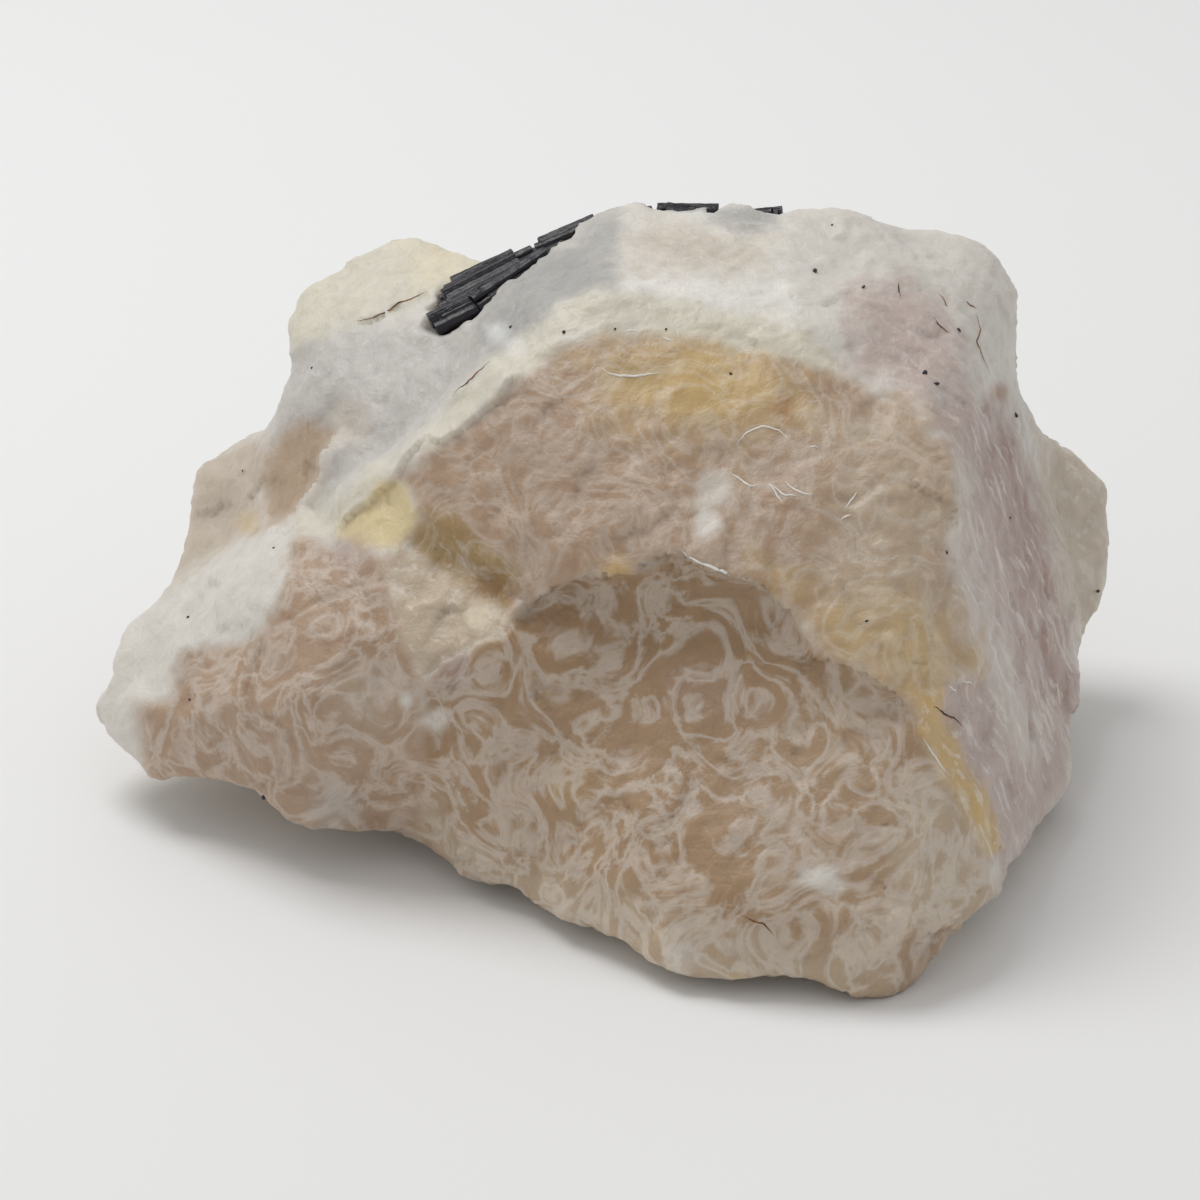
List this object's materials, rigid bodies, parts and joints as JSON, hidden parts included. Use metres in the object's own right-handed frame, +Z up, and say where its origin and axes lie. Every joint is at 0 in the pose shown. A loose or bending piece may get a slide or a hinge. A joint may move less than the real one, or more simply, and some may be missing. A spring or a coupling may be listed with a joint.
{
  "type": "rough rose quartz specimen with tourmaline",
  "caption": "Rough hand-sized lump of milky rose quartz with broken faces, a ledge across its front and a seam of black tourmaline in its crest; it rests on a small flat spot.",
  "frame": {"origin": "middle of the box's bottom, at the height of the flat spot the stone rests on", "axes": "+X to the right lobe along the stone's length, +Z up, the broken front with the ledge faces -Y"},
  "size_m": [0.1235, 0.0962, 0.067],
  "materials": {
    "rose_quartz": "broken, milky and slightly glassy; pinkish brown with grey-white and ochre parts",
    "black_tourmaline": "black, striated along its length, glassy"
  },
  "bodies": {
    "root": {"rose_quartz": "rose_quartz", "tourmaline_vein": "black_tourmaline"}
  },
  "joints": []
}
